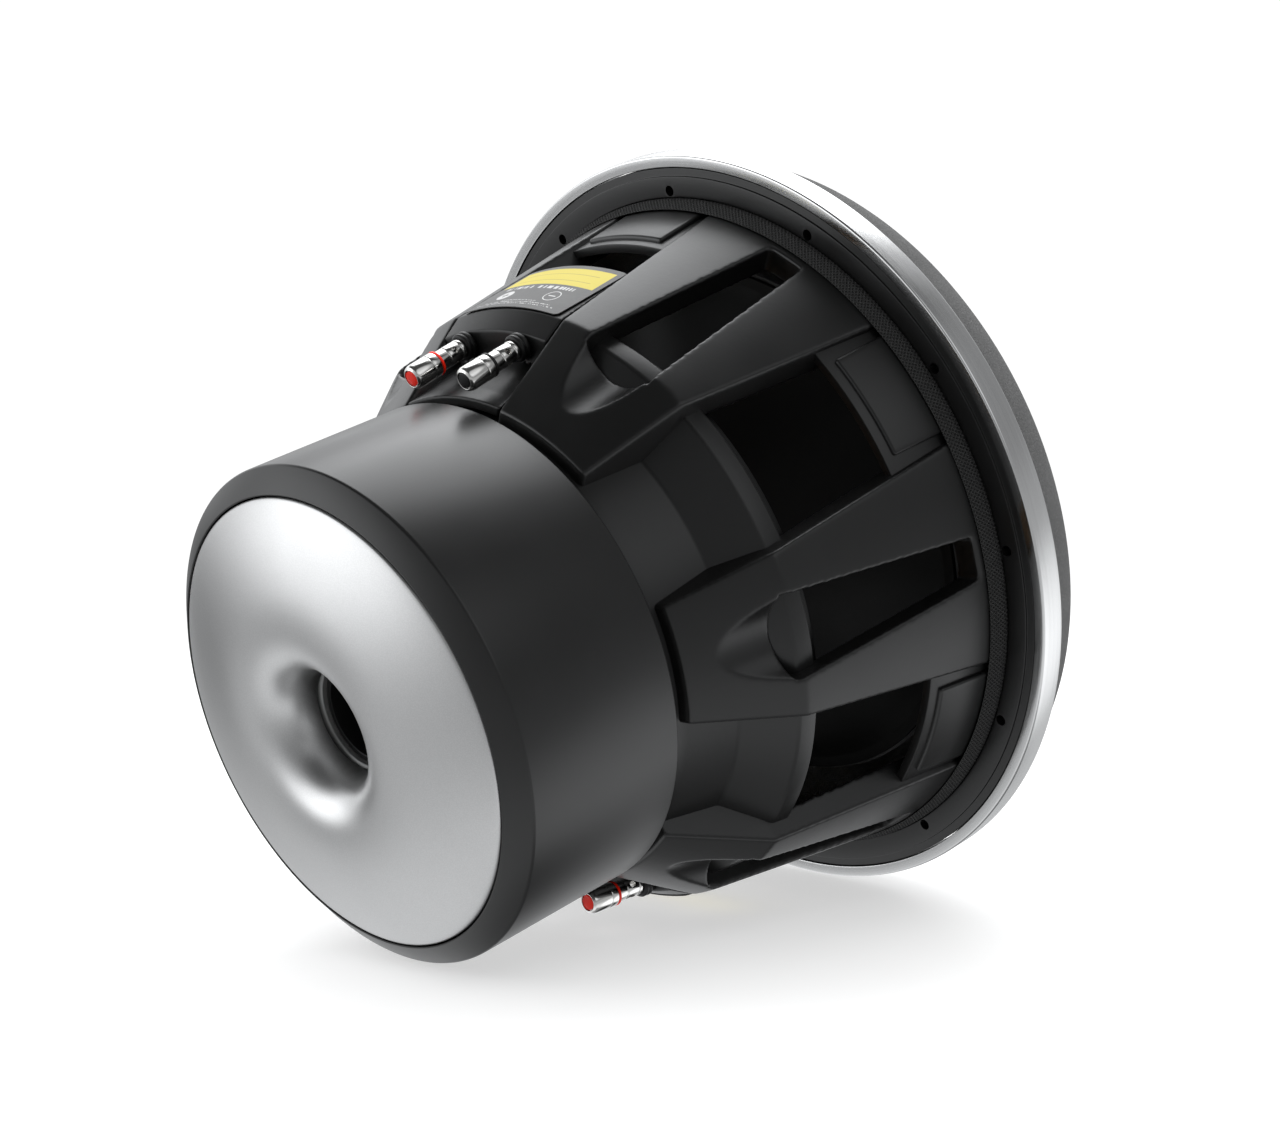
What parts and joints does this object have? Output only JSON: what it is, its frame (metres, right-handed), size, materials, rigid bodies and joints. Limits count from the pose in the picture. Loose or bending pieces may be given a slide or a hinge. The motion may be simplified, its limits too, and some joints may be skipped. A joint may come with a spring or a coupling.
{
  "type": "car subwoofer driver",
  "caption": "Large round car subwoofer driver with a cast spoked basket, roll surround, sealed motor, domed rear cap and push terminals.",
  "frame": {"origin": "centre of the driver, in the plane of the mounting flange's rear face", "axes": "+Y along the driver's axis from the cone to the motor, +Z towards the first terminal panel"},
  "size_m": [0.377, 0.3227, 0.377],
  "materials": {
    "cast_black": "satin black powder coat on cast aluminium",
    "machined_silver": "turned, brushed round its axis",
    "satin_silver": "satin with a fine sparkling grain",
    "boot_black": "satin black moulded sleeve",
    "foam_grey": "fine-grained matt grey foam",
    "woven_black": "black woven band",
    "moulded_black": "black moulded plastic",
    "label_grey": "grey printed foil with a yellow block",
    "nickel": "bright nickel plate",
    "signal_red": "glossy red",
    "signal_black": "glossy black",
    "cone_black": "satin black skin",
    "polyimide": "amber film",
    "copper": "wound copper wire",
    "spider_cloth": "resin-stiffened woven cloth",
    "steel": "zinc-plated steel",
    "ferrite": "sintered dark grey ferrite",
    "tinsel": "braided tinsel lead"
  },
  "bodies": {
    "frame": {"basket": "cast_black", "rear_cap": "satin_silver", "trim_ring": "machined_silver", "motor_boot": "boot_black", "top_plate": "steel", "pole_yoke": "steel", "terminal_panel_top": "moulded_black", "terminal_panel_bottom": "moulded_black", "gasket_band": "woven_black", "spider_ring": "moulded_black", "magnet_1": "ferrite", "magnet_2": "ferrite", "magnet_3": "ferrite", "pole_sleeve": "copper", "vent_tube": "moulded_black", "post_top_plus": "nickel", "post_top_minus": "nickel", "post_bottom_plus": "nickel", "post_bottom_minus": "nickel", "bushing_top_plus": "moulded_black", "bushing_top_minus": "moulded_black", "bushing_bottom_plus": "moulded_black", "bushing_bottom_minus": "moulded_black", "basket_screw_1": "steel", "basket_screw_2": "steel", "basket_screw_3": "steel", "basket_screw_4": "steel", "basket_screw_5": "steel", "basket_screw_6": "steel", "label_top": "label_grey", "label_bottom": "label_grey"},
    "cone_assembly": {"cone": "cone_black", "cone_dish": "cone_black", "former": "polyimide", "voice_coil_inner": "copper", "voice_coil_outer": "copper", "surround": "foam_grey", "spider": "spider_cloth", "lead_top_plus": "tinsel", "lead_top_minus": "tinsel", "lead_bottom_plus": "tinsel", "lead_bottom_minus": "tinsel"},
    "push_cap_top_plus": {"push_cap_top_plus": "nickel", "cap_ring_top_plus": "signal_red", "cap_disc_top_plus": "signal_red"},
    "push_cap_top_minus": {"push_cap_top_minus": "nickel", "cap_ring_top_minus": "signal_black", "cap_disc_top_minus": "signal_black"},
    "push_cap_bottom_plus": {"push_cap_bottom_plus": "nickel", "cap_ring_bottom_plus": "signal_red", "cap_disc_bottom_plus": "signal_red"},
    "push_cap_bottom_minus": {"push_cap_bottom_minus": "nickel", "cap_ring_bottom_minus": "signal_black", "cap_disc_bottom_minus": "signal_black"}
  },
  "joints": [
    {"name": "cone_stroke", "type": "slide", "parent": "frame", "child": "cone_assembly", "axis": [0, 1, 0], "range_m": [-0.028, 0.028], "stiffness_N_per_m": 5200, "deforming": ["surround", "spider", "lead_top_plus", "lead_top_minus", "lead_bottom_plus", "lead_bottom_minus"]},
    {"name": "push_top_plus", "type": "slide", "parent": "frame", "child": "push_cap_top_plus", "axis": [0, -0.9892, 0.1467], "range_m": [0, 0.004], "stiffness_N_per_m": 900},
    {"name": "push_top_minus", "type": "slide", "parent": "frame", "child": "push_cap_top_minus", "axis": [0, -0.9892, 0.1467], "range_m": [0, 0.004], "stiffness_N_per_m": 900},
    {"name": "push_bottom_plus", "type": "slide", "parent": "frame", "child": "push_cap_bottom_plus", "axis": [0, -0.9892, -0.1467], "range_m": [0, 0.004], "stiffness_N_per_m": 900},
    {"name": "push_bottom_minus", "type": "slide", "parent": "frame", "child": "push_cap_bottom_minus", "axis": [0, -0.9892, -0.1467], "range_m": [0, 0.004], "stiffness_N_per_m": 900}
  ]
}
